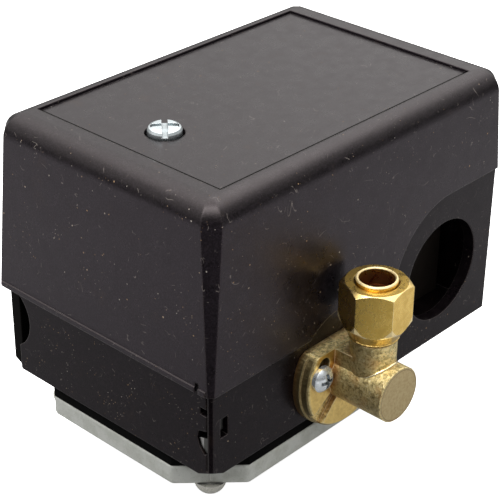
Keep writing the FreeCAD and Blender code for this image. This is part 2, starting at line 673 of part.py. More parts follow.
def make_moving_contacts():
    tip_low = CONTACT_SEAT + 0.8 + RUNNING
    bar_z = (tip_low + 0.9, tip_low + 2.3)
    bars = []
    for x in POLE_X:
        bar = box((x - 1.9, x + 1.9), (-10.6, 10.6), bar_z)
        tips = [rod("Z", CONTACT_R, (x, side * CONTACT_Y), (tip_low, tip_low + 1.0)) for side in SIDES]
        bars.append(join([bar] + tips))
    save("moving_contacts", *bars)


def make_contact_carrier():
    roof = CARRIER_TOP - 1.6
    body = box((28.0, 49.6), (-CARRIER_HALF, CARRIER_HALF), (26.0, CARRIER_TOP))
    lever_slot = box((27, 32.2), (-9, 9), (LEVER_Z[0] - 0.3, LEVER_Z[1] + 0.3))
    windows = [box((x - 2.0, x + 2.0), (-9, 9), (BRIDGE_LOW, roof)) for x in POLE_X]
    save("contact_carrier", drilled(body, [lever_slot] + windows))
    bar_top = BRIDGE_LOW + 1.4
    save("contact_springs", *[coil(1.2, 0.25, (x, 0), (bar_top, roof), 3) for x in POLE_X])


def make_small_screws():
    terminals = [screw(SMALL_SCREW_R, 2.8, 1.9, (x, side * TERMINAL_Y), CONTACT_SEAT, 6.5, 0.9)
                 for x, side in TERMINALS]
    save("terminal_screws", *terminals)
    grounds = [screw(GROUND_SCREW_R, 3.2, 2.2, centre, PLATE_TOP, PLATE_T, 1.0) for centre in GROUND_SCREWS]
    save("ground_screws", *grounds)
    length = BLOCK_TOP - FLOOR_Z - 1.2
    blocks = [screw(SMALL_SCREW_R, 2.2, 1.7, centre, BLOCK_TOP, length, 0.8) for centre in BLOCK_SCREWS]
    save("block_screws", *blocks)


# ---- Unloader valve -----------------------------------------------------------------------
# These pieces are drawn upright, with their height as the distance out from the middle plane,
# and then laid on the valve's line. Their local Y becomes +Z.

def on_valve_line(shape):
    shape.rotate(V(0, 0, 0), UNIT["X"], 90)
    shape.translate(V(VALVE_X, 0, VALVE_Z))
    return shape


def plate_slot(side):
    """The curved slot for one valve screw, swept about the valve's line."""
    radius = math.hypot(VALVE_SCREW_DX, VALVE_SCREW_DZ)
    half = VALVE_SCREW_R + 0.2
    start = math.degrees(math.atan2(-side * VALVE_SCREW_DZ, -side * VALVE_SCREW_DX))
    low = HALF_WIDTH - 1
    height = VALVE_PLATE_T + 2
    centre = V(0, 0, low)
    band = Part.makeCylinder(radius + half, height, centre, UNIT["Z"], VALVE_SLOT_SWEEP)
    band = band.cut(Part.makeCylinder(radius - half, height, centre, UNIT["Z"], VALVE_SLOT_SWEEP))
    ends = []
    for angle in (0, math.radians(VALVE_SLOT_SWEEP)):
        end = (radius * math.cos(angle), radius * math.sin(angle))
        ends.append(rod("Z", half, end, (low, low + height)))
    slot = join([band] + ends)
    slot.rotate(V(0, 0, 0), UNIT["Z"], start - VALVE_SLOT_SWEEP)
    return slot


def valve_plate():
    """The round mounting plate: a flat top edge, two screw slots and a flared groove."""
    front_r = VALVE_PLATE_R - 0.35
    plate = turned([(0, HALF_WIDTH), (VALVE_PLATE_R, HALF_WIDTH), (VALVE_PLATE_R, PLATE_OUT - 2.1),
                    (front_r, PLATE_OUT - 1.9), (front_r, PLATE_OUT - 0.5),
                    (front_r - 0.5, PLATE_OUT), (0, PLATE_OUT)], (0, 0))
    through = (HALF_WIDTH - 1, PLATE_OUT + 1)
    flat = box((-FAR, FAR), (VALVE_FLAT, VALVE_PLATE_R + 1), through)
    slope = [(8.7, VALVE_FLAT), (11.6, VALVE_FLAT - 1.5), (14, VALVE_FLAT - 1.5), (14, 9), (8.7, 9)]
    shoulders = [prism("Z", [(side * x, y) for x, y in slope], through) for side in SIDES]
    near, far = -5.4, -VALVE_PLATE_R - 1
    groove_outline = [(near, -1.4), (near, 1.4), (far, 2.25), (far, -2.25)]
    groove = prism("Z", groove_outline, (PLATE_OUT - 1.1, PLATE_OUT + 1))
    groove.rotate(V(0, 0, 0), UNIT["Z"], 41)
    return drilled(plate, [flat, groove] + shoulders + [plate_slot(side) for side in SIDES])


def make_valve_body():
    bevel = 0.2
    root = PLATE_OUT - 1
    barrel = turned([(0, root), (VALVE_BARREL_R, root), (VALVE_BARREL_R, VALVE_END_OUT - bevel),
                     (VALVE_BARREL_R - bevel, VALVE_END_OUT), (0, VALVE_END_OUT)], (0, 0))
    spigot = rod("Z", VALVE_SPIGOT_R, (0, 0), (GUIDE_OUT, HALF_WIDTH + 1))
    web = box((-WEB_HALF, WEB_HALF), (0, VALVE_FLAT), (root, -BRANCH_Y))
    lying = on_valve_line(join([valve_plate(), barrel, spigot, web]))
    neck_top = NUT_Z[0] - 0.2
    branch = turned([(0, VALVE_Z), (BRANCH_R, VALVE_Z), (BRANCH_R, neck_top - 0.3),
                     (BRANCH_THREAD_R, neck_top), (BRANCH_THREAD_R, BRANCH_TOP - 0.5),
                     (BRANCH_THREAD_R - 0.5, BRANCH_TOP), (0, BRANCH_TOP)], BRANCH_CENTRE)
    cuts = [on_valve_line(rod("Z", VALVE_BORE_R, (0, 0), (0, VALVE_BORE_END))),
            rod("Z", 2.0, BRANCH_CENTRE, (VALVE_Z, BRANCH_TOP + 1)),
            rod("Z", TUBE_R, BRANCH_CENTRE, (TUBE_STOP, BRANCH_TOP + 1))]
    save("valve_body", drilled(join([lying, branch]), cuts))


def make_valve_inside():
    neck_out = 30.0
    guide = tube("Z", VALVE_BORE_R, VALVE_STEM_R + 0.6, (0, 0), (neck_out, VALVE_SEAT_OUT))
    neck = tube("Z", VALVE_BORE_R, VALVE_STEM_R + RUNNING, (0, 0), (GUIDE_OUT, neck_out))
    save("valve_guide", on_valve_line(join([guide, neck])))

    # The stem's round tip rests against the lever's leaning tab
    tab_out = LEVER_HALF + LEVER_Z[1] - VALVE_Z
    tip_out = tab_out + ROOT_2 * (VALVE_STEM_R + RUNNING)
    head_out = VALVE_SEAT_OUT + 2.4
    seal_out = VALVE_SEAT_OUT + 1.3
    stem = rod("Z", VALVE_STEM_R, (0, 0), (tip_out, head_out))
    tip = Part.makeSphere(VALVE_STEM_R, V(0, 0, tip_out))
    head = rod("Z", 2.7, (0, 0), (seal_out, head_out))
    pilot = rod("Z", 1.2, (0, 0), (head_out, head_out + 1))
    save("valve_stem", on_valve_line(join([stem, tip, head, pilot])))
    seal = tube("Z", 2.8, VALVE_STEM_R, (0, 0), (VALVE_SEAT_OUT + RUNNING, seal_out))
    save("valve_seal", on_valve_line(seal))
    spring = coil(1.9, 0.3, (0, 0), (head_out + RUNNING, VALVE_BORE_END - RUNNING), 3)
    save("valve_spring", on_valve_line(spring))


def make_valve_screws():
    length = PLATE_OUT - GUIDE_OUT + 1
    screws = [screw(VALVE_SCREW_R, 2.6, 2.1, centre, PLATE_OUT, length, 0.8) for centre in VALVE_SCREWS]
    save("valve_screws", *[on_valve_line(piece) for piece in screws])


def make_compression_nut():
    """A hexagonal nut: a flat top with chamfered corners and a tapered lower end."""
    low, high = NUT_Z
    reach = NUT_FLATS / math.sqrt(3.0) + 0.1
    blank = turned([(0, low), (BRANCH_THREAD_R + 0.45, low), (BRANCH_THREAD_R + 0.65, low + 0.4),
                    (6.25, low + 2.8), (reach, low + 3.5), (reach, high - 0.8), (5.9, high), (0, high)],
                   BRANCH_CENTRE)
    thread_r = BRANCH_THREAD_R + RUNNING
    mouth_r = SLEEVE_R + RUNNING
    shoulder = high - 1.4
    inside = turned([(0, low - 1), (thread_r + 0.15, low - 1), (thread_r, low + 0.5), (thread_r, shoulder),
                     (mouth_r, shoulder + 0.4), (mouth_r, high - 0.25), (mouth_r + 0.3, high + 0.05),
                     (0, high + 0.05)], BRANCH_CENTRE)
    body = hexagon(NUT_FLATS, BRANCH_CENTRE, NUT_Z, NUT_TURN)
    save("compression_nut", body.common(blank).cut(inside))


def make_compression_sleeve():
    """A thin sleeve with a flared foot that the nut's shoulder holds down."""
    foot = BRANCH_TOP + CLEAR
    flare_r = BRANCH_THREAD_R
    ring = [(TUBE_R, foot), (SLEEVE_R, foot), (flare_r, foot + 0.5), (flare_r, foot + 0.9),
            (SLEEVE_R, foot + 1.3), (SLEEVE_R, SLEEVE_TOP - 0.25), (SLEEVE_R - 0.2, SLEEVE_TOP),
            (TUBE_R + 0.15, SLEEVE_TOP), (TUBE_R, SLEEVE_TOP - 0.2)]
    save("compression_sleeve", turned(ring, BRANCH_CENTRE))


make_cover()
make_cover_screw()
make_cover_post()
make_housing()
make_pressure_flange()
make_flange_screws()
make_diaphragm()
make_piston()
make_frame()
make_lever()
make_pivot_pin()
make_range_spring_set()
make_differential_spring_set()
make_terminal_block()
make_fixed_contacts()
make_moving_contacts()
make_contact_carrier()
make_small_screws()
make_valve_body()
make_valve_inside()
make_valve_screws()
make_compression_nut()
make_compression_sleeve()
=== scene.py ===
import json
import math
import random

import bpy
from mathutils import Matrix, Vector

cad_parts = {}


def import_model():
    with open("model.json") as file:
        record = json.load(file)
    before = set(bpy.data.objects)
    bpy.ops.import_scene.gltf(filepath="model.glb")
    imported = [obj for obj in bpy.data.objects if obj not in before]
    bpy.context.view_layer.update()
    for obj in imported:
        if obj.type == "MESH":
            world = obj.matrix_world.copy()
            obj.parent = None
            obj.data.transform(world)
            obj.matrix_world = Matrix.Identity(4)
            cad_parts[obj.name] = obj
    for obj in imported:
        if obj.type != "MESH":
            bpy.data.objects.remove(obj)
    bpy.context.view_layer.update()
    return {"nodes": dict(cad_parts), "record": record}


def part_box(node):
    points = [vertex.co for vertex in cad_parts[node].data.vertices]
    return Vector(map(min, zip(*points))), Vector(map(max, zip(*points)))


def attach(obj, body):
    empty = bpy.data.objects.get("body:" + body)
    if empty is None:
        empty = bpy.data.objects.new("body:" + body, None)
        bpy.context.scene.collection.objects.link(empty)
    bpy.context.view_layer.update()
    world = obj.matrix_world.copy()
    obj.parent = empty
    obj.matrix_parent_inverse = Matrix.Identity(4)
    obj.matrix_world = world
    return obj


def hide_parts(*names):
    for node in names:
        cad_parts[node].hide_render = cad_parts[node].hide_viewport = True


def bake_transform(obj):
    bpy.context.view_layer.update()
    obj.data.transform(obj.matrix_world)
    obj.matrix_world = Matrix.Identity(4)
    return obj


# The looks of the pressure switch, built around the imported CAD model. Blender works in metres;
# lengths below are written in millimetres and scaled by MM.

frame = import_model()
NODES = frame["nodes"]

MM = 0.001
SEED = 7


# ---- Places taken from the frame -------------------------------------------------------------

def middle(node):
    low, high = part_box(node)
    return (low + high) / 2


def low_corner(node):
    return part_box(node)[0]


def high_corner(node):
    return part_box(node)[1]


VALVE_AXIS = middle("valve_stem")
BRANCH_AXIS = middle("compression_sleeve")
RANGE_AXIS = middle("range_stud")
DIFFERENTIAL_AXIS = middle("differential_stud")
COVER_SCREW_AXIS = middle("cover_screw")
PLATE_FRONT = -31.6 * MM
BARREL_END = low_corner("valve_body").y
BARREL_R = 5.6 * MM
BRANCH_R = 4.5 * MM
TUBE_R = 3.4 * MM
PANEL_INSET_X = 8.0 * MM
PANEL_INSET_Y = 5.5 * MM
PANEL_DEPTH = 0.5 * MM


# ---- Shader helper ---------------------------------------------------------------------------

class Graph:
    """A node tree with short calls for the nodes that materials and the world share."""

    def __init__(self, tree):
        self.tree = tree

    def feed(self, socket, value):
        if isinstance(value, bpy.types.NodeSocket):
            self.tree.links.new(value, socket)
        elif isinstance(value, tuple) and len(value) == 3 and socket.type == "RGBA":
            socket.default_value = (*value, 1)
        else:
            socket.default_value = value

    def node(self, kind, **values):
        made = self.tree.nodes.new(kind)
        for key, value in values.items():
            self.feed(made.inputs[key], value)
        return made

    def ramp(self, value, low, high, low_out=0.0, high_out=1.0):
        """A smooth step from low_out at low to high_out at high."""
        made = self.tree.nodes.new("ShaderNodeMapRange")
        made.interpolation_type = "SMOOTHSTEP"
        for socket, given in zip(made.inputs[:5], (value, low, high, low_out, high_out)):
            self.feed(socket, given)
        return made.outputs["Result"]

    def math(self, operation, a, b=0.0):
        made = self.tree.nodes.new("ShaderNodeMath")
        made.operation = operation
        self.feed(made.inputs[0], a)
        self.feed(made.inputs[1], b)
        return made.outputs["Value"]

    def times(self, a, b):
        return self.math("MULTIPLY", a, b)

    def dot(self, vector, direction):
        made = self.node("ShaderNodeVectorMath")
        made.operation = "DOT_PRODUCT"
        self.feed(made.inputs[0], vector)
        self.feed(made.inputs[1], direction)
        return made.outputs["Value"]


class Shader(Graph):
    """A new material's node tree, with the patterns that the looks below are made of."""

    def __init__(self, name):
        self.material = bpy.data.materials.new(name)
        self.material.use_nodes = True
        super().__init__(self.material.node_tree)
        self.bsdf = self.tree.nodes["Principled BSDF"]
        self.place = self.node("ShaderNodeTexCoord").outputs["Object"]
        self.axes = self.node("ShaderNodeSeparateXYZ", Vector=self.place).outputs

    def mix(self, share, a, b):
        made = self.tree.nodes.new("ShaderNodeMix")
        made.data_type = "RGBA"
        self.feed(made.inputs["Factor"], share)
        self.feed(made.inputs[6], a)
        self.feed(made.inputs[7], b)
        return made.outputs[2]

    def normal(self):
        """The three parts of the surface's direction."""
        shape = self.tree.nodes.new("ShaderNodeNewGeometry")
        return self.node("ShaderNodeSeparateXYZ", Vector=shape.outputs["Normal"]).outputs

    def stretched(self, scale):
        """Object coordinates, scaled along each axis, for streaks."""
        return self.node("ShaderNodeMapping", Vector=self.place, Scale=scale).outputs["Vector"]

    def noise(self, size, detail=3.0, rough=0.55, place=None, distortion=0.0):
        """Soft noise whose features are about the given size in millimetres."""
        made = self.node("ShaderNodeTexNoise", Scale=1 / (size * MM), Detail=detail, Roughness=rough,
                         Distortion=distortion, Vector=place or self.place)
        return made.outputs["Fac"]

    def specks(self, spacing, size, share):
        """Sparse uneven specks: 1 inside a speck, 0 elsewhere. Lengths are in millimetres."""
        wobble = self.node("ShaderNodeTexNoise", Vector=self.place, Scale=0.5 / (size * MM))
        shift = self.tree.nodes.new("ShaderNodeVectorMath")
        shift.operation = "MULTIPLY_ADD"
        self.feed(shift.inputs[0], wobble.outputs["Color"])
        self.feed(shift.inputs[1], (1.6 * size * MM,) * 3)
        self.feed(shift.inputs[2], self.place)
        cells = self.node("ShaderNodeTexVoronoi", Scale=1 / (spacing * MM), Vector=shift.outputs["Vector"])
        edge = size / spacing
        dot = self.ramp(cells.outputs["Distance"], edge * 0.6, edge, 1.0, 0.0)
        pick = self.node("ShaderNodeSeparateColor", Color=cells.outputs["Color"])
        return self.times(dot, self.math("LESS_THAN", pick.outputs[0], share))

    def near(self, axis, place, reach):
        """1 on the plane at a place along one axis, falling to 0 at the given reach."""
        gap = self.math("ABSOLUTE", self.math("SUBTRACT", self.axes[axis], place))
        return self.ramp(gap, reach * 0.5, reach, 1.0, 0.0)

    def from_line(self, axis, centre):
        """Distance from a line along one axis through a centre point."""
        squares = []
        for k in [k for k in range(3) if k != axis]:
            gap = self.math("SUBTRACT", self.axes[k], centre[k])
            squares.append(self.times(gap, gap))
        return self.math("SQRT", self.math("ADD", *squares))

    def hairs(self, size, width, cover):
        """Fine curved hairs: short pieces of a noise contour. Lengths are in millimetres."""
        curve = self.noise(size, 1.0, 0.4, None, 1.2)
        off = self.math("ABSOLUTE", self.math("SUBTRACT", curve, 0.5))
        line = self.ramp(off, 0.2 * width / size, 0.8 * width / size, 1.0, 0.0)
        return self.times(line, self.ramp(self.noise(size * 0.45, 1.0), 1 - cover, 1 - cover + 0.04))

    def edges(self, radius):
        """1 on sharp edges, 0 on open faces."""
        bevel = self.node("ShaderNodeBevel", Radius=radius * MM)
        bevel.samples = 6
        shape = self.node("ShaderNodeNewGeometry")
        return self.ramp(self.dot(bevel.outputs["Normal"], shape.outputs["Normal"]), 0.99, 0.88)

    def crevice(self, reach):
        """1 deep in corners and gaps, 0 in the open."""
        open_sky = self.node("ShaderNodeAmbientOcclusion", Distance=reach * MM)
        open_sky.samples = 6
        return self.ramp(open_sky.outputs["AO"], 0.85, 0.35)

    def finish(self, colour, rough, metal=0.0, height=None, depth=0.0, edge=0.0, specular=0.5,
               sheen=(1.0, 1.0, 1.0)):
        """Joins colour, roughness, metalness and a bump of the given depth in millimetres. sheen is
        the tint of the reflections."""
        self.feed(self.bsdf.inputs["Base Color"], colour)
        self.feed(self.bsdf.inputs["Roughness"], rough)
        self.feed(self.bsdf.inputs["Metallic"], metal)
        self.feed(self.bsdf.inputs["Specular IOR Level"], specular)
        self.feed(self.bsdf.inputs["Specular Tint"], sheen)
        normal = None
        if edge:
            rounded = self.node("ShaderNodeBevel", Radius=edge * MM)
            rounded.samples = 6
            normal = rounded.outputs["Normal"]
        if height is not None:
            bump = self.node("ShaderNodeBump", Strength=1.0, Distance=depth * MM, Height=height)
            if normal is not None:
                self.feed(bump.inputs["Normal"], normal)
            normal = bump.outputs["Normal"]
        if normal is not None:
            self.feed(self.bsdf.inputs["Normal"], normal)
        return self.material


def shade(colour, amount):
    return tuple(channel * amount for channel in colour)


# ---- Materials -------------------------------------------------------------------------------

def black_plastic(name, base, shine, dustiness, shade_region=None):
    """Moulded black plastic with a fine grain, tan dust specks, pale hairs and a painted highlight along
    its edges. The last argument picks a region that gets painted shade: nearly black and without shine."""
    s = Shader(name)
    cloud = s.noise(14, 4)
    grain = s.noise(0.3, 3, 0.7)
    colour = s.mix(s.ramp(cloud, 0.3, 0.7), base, shade(base, 1.5))
    colour = s.mix(s.ramp(grain, 0.44, 0.60), shade(base, 0.2), s.mix(0.4, colour, shade(base, 4.5)))
    facing_up = s.ramp(s.normal()[2], 0.5, 0.95)
    on_sides = s.ramp(facing_up, 0, 1, 1.0, 0.35)
    shine = s.ramp(facing_up, 0, 1, shine * 0.74, shine)
    patches = s.ramp(s.noise(9, 3, 0.6), 0.46, 0.60)
    fine_dust = s.times(s.specks(0.8, 0.12, 0.42 * dustiness), patches)
    large_dust = s.specks(2.4, 0.19, 0.55 * dustiness)
    dust = s.math("MAXIMUM", fine_dust, large_dust)
    dust_colour = s.mix(s.ramp(s.noise(2.5, 1), 0.42, 0.58), (0.42, 0.27, 0.14), (0.46, 0.42, 0.37))
    colour = s.mix(s.times(s.times(dust, 0.66), on_sides), colour, dust_colour)
    hairs = s.math("MAXIMUM", s.hairs(6, 0.06, 0.38), s.hairs(3.2, 0.05, 0.34))
    hairs = s.times(s.times(hairs, 0.36 * dustiness), on_sides)
    colour = s.mix(hairs, colour, (0.34, 0.30, 0.27))
    smear = s.times(s.ramp(s.noise(6, 5, 0.7), 0.58, 0.78), 0.04)
    colour = s.mix(smear, colour, (0.25, 0.16, 0.10))
    # Lighter edges: painted highlight.
    colour = s.mix(s.times(s.edges(0.25), 0.5), colour, (0.12, 0.105, 0.10))
    rough = s.math("ADD", s.ramp(s.noise(3, 4), 0.3, 0.7, 0.26, 0.36), s.times(dust, 0.3))
    height = s.math("ADD", grain, s.times(dust, 2.0))
    # Painted shade: the picked region is made nearly black and loses its shine.
    if shade_region is not None:
        painted_shade = shade_region(s)
        shine = s.ramp(painted_shade, 0, 1, shine, 0.02)
        colour = s.mix(painted_shade, colour, (0.003, 0.003, 0.0025))
    sheen = s.mix(s.ramp(s.normal()[2], 0.05, 0.5), PURPLE_SHEEN, WARM_SHEEN)
    return s.finish(colour, rough, 0.0, height, 0.008, 0.45, shine, sheen)


def panel_edge_shadow(s):
    """Painted shadow: the dark line inside the near and left edges of the cover's recessed panel."""
    low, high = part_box("cover")
    panel_left = low.x + PANEL_INSET_X
    panel_near = low.y + PANEL_INSET_Y
    by_left = s.math("LESS_THAN", s.axes[0], panel_left + 1.2 * MM)
    by_near = s.math("LESS_THAN", s.axes[1], panel_near + 0.98 * MM)
    inside = s.math("MAXIMUM", by_left, by_near)
    inside = s.times(inside, s.near(2, high.z - PANEL_DEPTH - 0.1 * MM, 0.4 * MM))
    inside = s.times(inside, s.math("GREATER_THAN", s.axes[0], panel_left - 0.01 * MM))
    return s.times(inside, s.math("GREATER_THAN", s.axes[1], panel_near - 0.01 * MM))


def far_corner_shade(s):
    """Painted shade on the housing's shallow recess beside its far left corner, made dark and without
    shine.
    """
    low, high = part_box("housing")
    centre = Vector((low.x, high.y + 1.0 * MM, low.z + 12.5 * MM))
    round_part = s.math("LESS_THAN", s.from_line(0, centre), 7.3 * MM)
    far = s.math("GREATER_THAN", s.axes[1], high.y - 2.85 * MM)
    strip = s.times(far, s.math("LESS_THAN", s.axes[2], centre.z))
    below_wall = s.math("GREATER_THAN", s.axes[0], low.x + 0.3 * MM)
    deep = s.times(below_wall, s.math("LESS_THAN", s.axes[0], low.x + 3 * MM))
    return s.times(s.math("MAXIMUM", round_part, strip), deep)


def brass(name, light, dark, rough, nut=False):
    """Machined brass: tarnish in soft patches, drawn streaks, brown in crevices and bright edges that are
    worn and lightened further as a painted highlight. The compression nut and its sleeve have marks of
    their own, painted shade and painted highlights among them."""
    s = Shader(name)
    cloud = s.noise(1.6, 5, 0.6, None, 0.6)
    streaks = s.noise(1, 4, 0.6, s.stretched((2200, 2200, 260)))
    colour = s.mix(s.ramp(cloud, 0.35, 0.65), light, dark)
    colour = s.mix(s.times(s.ramp(streaks, 0.52, 0.75), 0.25), colour, shade(dark, 0.4))
    colour = s.mix(s.times(s.crevice(1.2), 0.45), colour, (0.30, 0.15, 0.04))
    edge = s.times(s.edges(0.22), 0.85)
    if nut:
        colour, edge = nut_sides(s, colour, edge, dark)
    # Bright edges: worn brass, lightened further as a painted highlight; on the nut this also carries its
    # painted chamfer highlights.
    colour = s.mix(edge, colour, (1.0, 0.90, 0.58))
    smooth = s.ramp(cloud, 0.3, 0.7, rough - 0.05, rough + 0.07)
    smooth = s.math("SUBTRACT", smooth, s.times(edge, 0.12))
    if nut:
        colour, smooth = nut_marks(s, colour, smooth)
    return s.finish(colour, smooth, 1.0, s.noise(0.4, 4, 0.6), 0.012, 0.18)


def nut_sides(s, colour, edge, dark):
    """Painted shade on the compression nut's back and underside, and painted highlights on its chamfers.
    """
    upwards = s.normal()[2]
    backwards = s.ramp(s.normal()[1], 0.35, 0.7)
    # Painted shade on the back.
    colour = s.mix(s.times(backwards, 0.85), colour, shade(dark, 0.1))
    underside = s.ramp(upwards, -0.3, -0.45)
    # Painted shade underneath.
    colour = s.mix(s.times(underside, 0.6), colour, shade(dark, 0.55))
    past_flats = s.ramp(s.from_line(2, BRANCH_AXIS), 5.98 * MM, 6.1 * MM)
    # Painted highlights on the chamfers and on the low corners past the flats.
    chamfer = s.times(s.ramp(upwards, 0.3, 0.5), s.ramp(upwards, 0.93, 0.98, 0.22, 0.0))
    bright = s.math("MAXIMUM", chamfer, s.times(underside, past_flats))
    return colour, s.math("MAXIMUM", edge, bright)


def nut_marks(s, colour, smooth):
    """Painted highlights: pale matt triangles low on the nut's corners and a pale band on the sleeve's
    lip; and the sleeve's red-brown bore.
    """
    from_axis = s.from_line(2, BRANCH_AXIS)
    outwards = s.times(s.math("SUBTRACT", from_axis, 6.25 * MM), 2.8)
    lift = s.math("SUBTRACT", s.axes[2], low_corner("compression_nut").z + 2.8 * MM)
    triangles = s.ramp(s.math("SUBTRACT", outwards, lift), 0.0, 0.1 * MM)
    triangles = s.times(triangles, s.math("GREATER_THAN", lift, 0.0))
    top = high_corner("compression_sleeve").z
    # Painted highlight: the triangles and the lip band are made pale.
    pale = s.math("MAXIMUM", triangles, s.ramp(s.axes[2], top - 0.4 * MM, top - 0.2 * MM))
    colour = s.mix(pale, colour, (1.0, 0.84, 0.48))
    smooth = s.math("ADD", smooth, s.times(pale, 0.3))
    bore = s.math("LESS_THAN", from_axis, TUBE_R + 0.12 * MM)
    bore = s.times(bore, s.ramp(s.axes[2], top - 1.6 * MM, top - 0.5 * MM, 1.0, 0.0))
    return s.mix(bore, colour, (0.66, 0.38, 0.17)), smooth


def cast_brass(name):
    """The valve's forging: rough and mottled, with smooth machined faces and brown stains."""
    s = Shader(name)
    plate_face = s.near(1, PLATE_FRONT, 0.12 * MM)
    end_face = s.near(1, BARREL_END, 0.12 * MM)
    machined = s.math("MAXIMUM", plate_face, end_face)
    cloud = s.noise(1.0, 6, 0.7, None, 0.6)
    lumps = s.noise(0.5, 5, 0.75)
    cast = s.mix(s.ramp(cloud, 0.40, 0.60), (1.0, 0.82, 0.40), (0.56, 0.45, 0.20))
    cast = s.mix(s.times(s.ramp(lumps, 0.54, 0.62), 0.75), cast, (0.14, 0.11, 0.05))
    cast = s.mix(s.times(s.ramp(lumps, 0.46, 0.40), 0.8), cast, (1.0, 0.90, 0.56))
    stain = s.ramp(s.noise(3.2, 3, 0.5), 0.52, 0.68)
    cast = s.mix(s.times(stain, 0.35), cast, (0.72, 0.36, 0.10))
    cut = s.mix(s.ramp(cloud, 0.3, 0.7), (0.96, 0.71, 0.25), (0.74, 0.51, 0.16))
    tan = s.mix(s.ramp(s.noise(0.5, 4), 0.3, 0.75), (0.58, 0.47, 0.25), (0.48, 0.35, 0.17))
    cut = s.mix(end_face, cut, tan)
    sides = s.normal()
    shaded = s.math("MAXIMUM", s.ramp(sides[0], -0.6, -1.0), s.ramp(sides[1], 0.3, 0.8))
    cast = s.mix(s.times(shaded, 0.6), cast, (0.10, 0.07, 0.03))
    from_axis = s.from_line(1, VALVE_AXIS)
    rim = s.ramp(from_axis, 11.3 * MM, 11.5 * MM)
    cast = s.mix(s.times(rim, s.ramp(lumps, 0.35, 0.6, 0.95, 0.6)), cast, (0.11, 0.08, 0.035))
    colour = s.mix(machined, cast, cut)
    # A dark ring on the barrel's end face, a little inside its outer edge.
    off_line = s.math("ABSOLUTE", s.math("SUBTRACT", from_axis, BARREL_R - 0.42 * MM))
    dark_ring = s.ramp(off_line, 0.04 * MM, 0.12 * MM, 1.0, 0.0)
    colour = s.mix(s.times(s.times(dark_ring, end_face), 0.55), colour, (0.15, 0.09, 0.03))
    colour = s.mix(s.times(s.crevice(2.2), 0.75), colour, (0.36, 0.15, 0.04))
    # Lighter edges: painted highlight, weaker on the rim.
    edge = s.times(s.edges(0.2), s.ramp(rim, 0, 1, 0.7, 0.2))
    colour = s.mix(edge, colour, (1.0, 0.92, 0.62))
    inside = s.math("LESS_THAN", s.from_line(2, BRANCH_AXIS), TUBE_R + 0.1 * MM)
    inside = s.times(inside, s.math("GREATER_THAN", s.axes[2], VALVE_AXIS.z + BARREL_R))
    colour = s.mix(inside, colour, (0.20, 0.06, 0.02))
    rough = s.ramp(machined, 0, 1, 0.44, 0.32)
    height = s.math("ADD", s.times(cloud, 1.2), lumps)
    height = s.times(height, s.ramp(machined, 0, 1, 1.0, 0.12))
    return s.finish(colour, rough, 1.0, height, 0.16, 0.18)


def zinc(name, base=(0.84, 0.90, 0.94), metal=0.85):
    """Bright zinc plate: bluish white, with painted shade in its recesses and a painted highlight on its
    edges.
    """
    s = Shader(name)
    cloud = s.noise(1.1, 4)
    colour = s.mix(cloud, base, shade(base, 0.85))
    # Painted shade in the recesses.
    colour = s.mix(s.times(s.crevice(0.9), 0.85), colour, (0.05, 0.055, 0.06))
    # Painted highlight on the edges.
    colour = s.mix(s.times(s.edges(0.12), 0.6), colour, (0.97, 0.98, 1.0))
    return s.finish(colour, s.ramp(cloud, 0.3, 0.7, 0.2, 0.36), metal, s.noise(0.35, 3), 0.004, 0.1)


def cast_aluminium(name):
    """As-cast flange: light grey, finely pitted, with darker blotches, a painted highlight on its edges
    and painted shade in its corners.
    """
    s = Shader(name)
    cloud = s.noise(3.5, 5, 0.6)
    pits = s.noise(0.5, 4, 0.65)
    colour = s.mix(s.ramp(cloud, 0.35, 0.65), (0.62, 0.635, 0.60), (0.52, 0.535, 0.49))
    colour = s.mix(s.times(s.ramp(pits, 0.56, 0.74), 0.5), colour, (0.26, 0.26, 0.23))
    blots = s.times(s.specks(7.0, 0.9, 0.5), s.ramp(pits, 0.4, 0.6))
    colour = s.mix(s.times(blots, 0.45), colour, (0.16, 0.16, 0.14))
    # Painted highlight on the edges.
    colour = s.mix(s.times(s.edges(0.3), 0.6), colour, (0.80, 0.81, 0.76))
    # Painted shade in the corners.
    colour = s.mix(s.times(s.crevice(1.5), 0.5), colour, (0.08, 0.08, 0.06))
    height = s.math("ADD", s.times(cloud, 1.5), pits)
    return s.finish(colour, s.ramp(cloud, 0.3, 0.7, 0.5, 0.64), 0.6, height, 0.12, 0.4)


def steel(name, base, rough=0.34):
    """Rolled or drawn steel with a cloudy plating, fine drawing lines and painted shade in its gaps. The
    frame's tab in the front slot gets painted shade that is darker still."""
    s = Shader(name)
    spangle = s.noise(3.0, 5, 0.6, None, 1.0)
    colour = s.mix(spangle, base, shade(base, 0.65))
    # Painted shade in the gaps.
    colour = s.mix(s.times(s.crevice(2.5), 0.9), colour, shade(base, 0.10))
    # Painted shade, darker still, on the frame's tab in the front slot.
    in_slot = s.math("LESS_THAN", s.axes[1], low_corner("frame").y + 1.2 * MM)
    colour = s.mix(s.times(in_slot, 0.8), colour, shade(base, 0.05))
    streak = s.noise(1, 3, 0.5, s.stretched((0.2, 4, 4)))
    rough = s.ramp(spangle, 0.3, 0.7, rough - 0.06, rough + 0.1)
    return s.finish(colour, rough, 1.0, streak, 0.004, 0.2)


def moulded(name, base, rough=0.5, shine=0.5):
    """Plain moulded plastic or rubber with slight colour drift, fine grain and painted shade in its
    corners.
    """
    s = Shader(name)
    cloud = s.noise(5, 4)
    colour = s.mix(cloud, base, shade(base, 0.7))
    colour = s.mix(s.times(s.specks(1.5, 0.12, 0.3), 0.4), colour, shade(base, 2.5))
    # Painted shade in the corners.
    colour = s.mix(s.times(s.crevice(2.5), 0.5), colour, shade(base, 0.35))
    rough = s.ramp(cloud, 0.3, 0.7, rough - 0.08, rough + 0.08)
    return s.finish(colour, rough, 0.0, s.noise(0.25, 3), 0.01, 0.2, shine)


